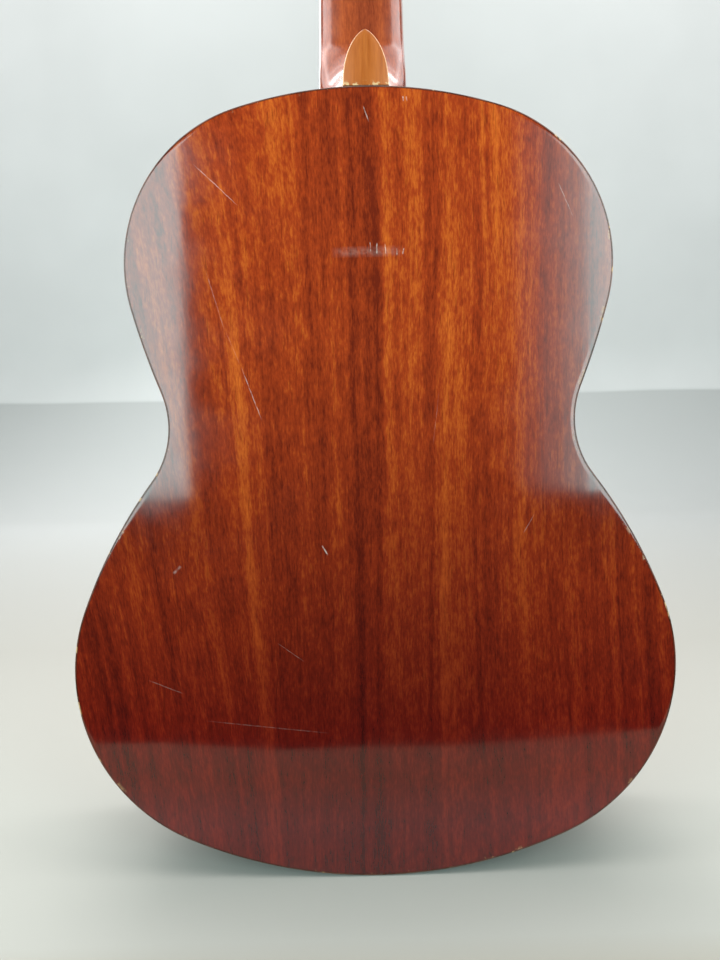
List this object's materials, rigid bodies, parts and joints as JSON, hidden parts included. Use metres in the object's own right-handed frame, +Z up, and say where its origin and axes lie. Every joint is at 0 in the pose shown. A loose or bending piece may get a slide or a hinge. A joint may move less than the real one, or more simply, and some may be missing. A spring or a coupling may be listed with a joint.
{
  "type": "classical guitar",
  "caption": "Classical guitar: arched sound box with a sound hole, slim neck and heel, fretted fingerboard, tie bridge, nylon strings, and a slotted headstock with worm-geared tuners.",
  "frame": {"origin": "middle of the flat strip at the tail end, the lowest place when the guitar stands upright on its tail", "axes": "+Z up the neck from tail to headstock, -Y out of the soundboard (the front), +Y out of the back, +X the treble side"},
  "size_m": [0.3708, 0.1105, 0.9867],
  "materials": {
    "back_wood": "glossy",
    "side_wood": "glossy",
    "top_wood": "glossy",
    "neck_wood": "glossy",
    "cap_wood": "glossy",
    "inner_wood": "bare",
    "dark_wood": "satin",
    "inlay": "glossy",
    "bone": "smooth",
    "nylon": "clear",
    "wound": "wound wire",
    "plate_metal": "plated",
    "gear_metal": "satin",
    "worm_metal": "plated",
    "pearl": "pearly",
    "fret_wire": "polished"
  },
  "bodies": {
    "guitar": {"soundboard": "top_wood", "rosette": "inlay", "back_plate": "back_wood", "side_treble": "side_wood", "side_bass": "side_wood", "tail_strip": "dark_wood", "neck_block": "inner_wood", "end_block": "inner_wood", "soundhole_ring": "inner_wood", "fan_bracing": "inner_wood", "neck": "neck_wood", "heel_cap": "cap_wood", "fingerboard": "dark_wood", "fret_set": "fret_wire", "nut": "bone", "bridge": "dark_wood", "saddle": "bone", "headstock": "neck_wood", "headstock_veneer": "dark_wood", "tuner_plate_treble": "plate_metal", "tuner_plate_bass": "plate_metal", "top_lining_treble": "inner_wood", "top_lining_bass": "inner_wood", "back_lining_treble": "inner_wood", "back_lining_bass": "inner_wood", "back_bar_upper": "inner_wood", "back_bar_middle": "inner_wood", "back_bar_lower": "inner_wood", "top_bar_upper": "inner_wood", "top_bar_lower": "inner_wood", "string_1": "nylon", "string_2": "nylon", "string_3": "nylon", "string_4": "wound", "string_5": "wound", "string_6": "wound"},
    "button_shaft_1": {"button_1": "pearl", "worm_1": "worm_metal"},
    "string_roller_1": {"roller_1": "pearl", "worm_wheel_1": "gear_metal"},
    "button_shaft_2": {"button_2": "pearl", "worm_2": "worm_metal"},
    "string_roller_2": {"roller_2": "pearl", "worm_wheel_2": "gear_metal"},
    "button_shaft_3": {"button_3": "pearl", "worm_3": "worm_metal"},
    "string_roller_3": {"roller_3": "pearl", "worm_wheel_3": "gear_metal"},
    "button_shaft_4": {"button_4": "pearl", "worm_4": "worm_metal"},
    "string_roller_4": {"roller_4": "pearl", "worm_wheel_4": "gear_metal"},
    "button_shaft_5": {"button_5": "pearl", "worm_5": "worm_metal"},
    "string_roller_5": {"roller_5": "pearl", "worm_wheel_5": "gear_metal"},
    "button_shaft_6": {"button_6": "pearl", "worm_6": "worm_metal"},
    "string_roller_6": {"roller_6": "pearl", "worm_wheel_6": "gear_metal"}
  },
  "joints": [
    {"name": "button_1_spin", "type": "hinge", "parent": "guitar", "child": "button_shaft_1", "pos_m": [0.0362, -0.02873, 0.84022], "axis": [0, 0.9659, -0.2588], "continuous": true},
    {"name": "roller_1_spin", "type": "hinge", "parent": "guitar", "child": "string_roller_1", "pos_m": [0.015, -0.02671, 0.84775], "axis": [1, 0, 0], "continuous": true},
    {"name": "button_2_spin", "type": "hinge", "parent": "guitar", "child": "button_shaft_2", "pos_m": [0.0362, -0.01967, 0.87402], "axis": [0, 0.9659, -0.2588], "continuous": true},
    {"name": "roller_2_spin", "type": "hinge", "parent": "guitar", "child": "string_roller_2", "pos_m": [0.015, -0.01765, 0.88156], "axis": [1, 0, 0], "continuous": true},
    {"name": "button_3_spin", "type": "hinge", "parent": "guitar", "child": "button_shaft_3", "pos_m": [0.0362, -0.01061, 0.90783], "axis": [0, 0.9659, -0.2588], "continuous": true},
    {"name": "roller_3_spin", "type": "hinge", "parent": "guitar", "child": "string_roller_3", "pos_m": [0.015, -0.00859, 0.91536], "axis": [1, 0, 0], "continuous": true},
    {"name": "button_4_spin", "type": "hinge", "parent": "guitar", "child": "button_shaft_4", "pos_m": [-0.0362, -0.01061, 0.90783], "axis": [0, 0.9659, -0.2588], "continuous": true},
    {"name": "roller_4_spin", "type": "hinge", "parent": "guitar", "child": "string_roller_4", "pos_m": [-0.015, -0.00859, 0.91536], "axis": [1, 0, 0], "continuous": true},
    {"name": "button_5_spin", "type": "hinge", "parent": "guitar", "child": "button_shaft_5", "pos_m": [-0.0362, -0.01967, 0.87402], "axis": [0, 0.9659, -0.2588], "continuous": true},
    {"name": "roller_5_spin", "type": "hinge", "parent": "guitar", "child": "string_roller_5", "pos_m": [-0.015, -0.01765, 0.88156], "axis": [1, 0, 0], "continuous": true},
    {"name": "button_6_spin", "type": "hinge", "parent": "guitar", "child": "button_shaft_6", "pos_m": [-0.0362, -0.02873, 0.84022], "axis": [0, 0.9659, -0.2588], "continuous": true},
    {"name": "roller_6_spin", "type": "hinge", "parent": "guitar", "child": "string_roller_6", "pos_m": [-0.015, -0.02671, 0.84775], "axis": [1, 0, 0], "continuous": true}
  ],
  "couplings": [
    {"joint": "roller_1_spin", "follows": "button_1_spin", "ratio": -0.071429},
    {"joint": "roller_2_spin", "follows": "button_2_spin", "ratio": -0.071429},
    {"joint": "roller_3_spin", "follows": "button_3_spin", "ratio": -0.071429},
    {"joint": "roller_4_spin", "follows": "button_4_spin", "ratio": 0.071429},
    {"joint": "roller_5_spin", "follows": "button_5_spin", "ratio": 0.071429},
    {"joint": "roller_6_spin", "follows": "button_6_spin", "ratio": 0.071429}
  ]
}
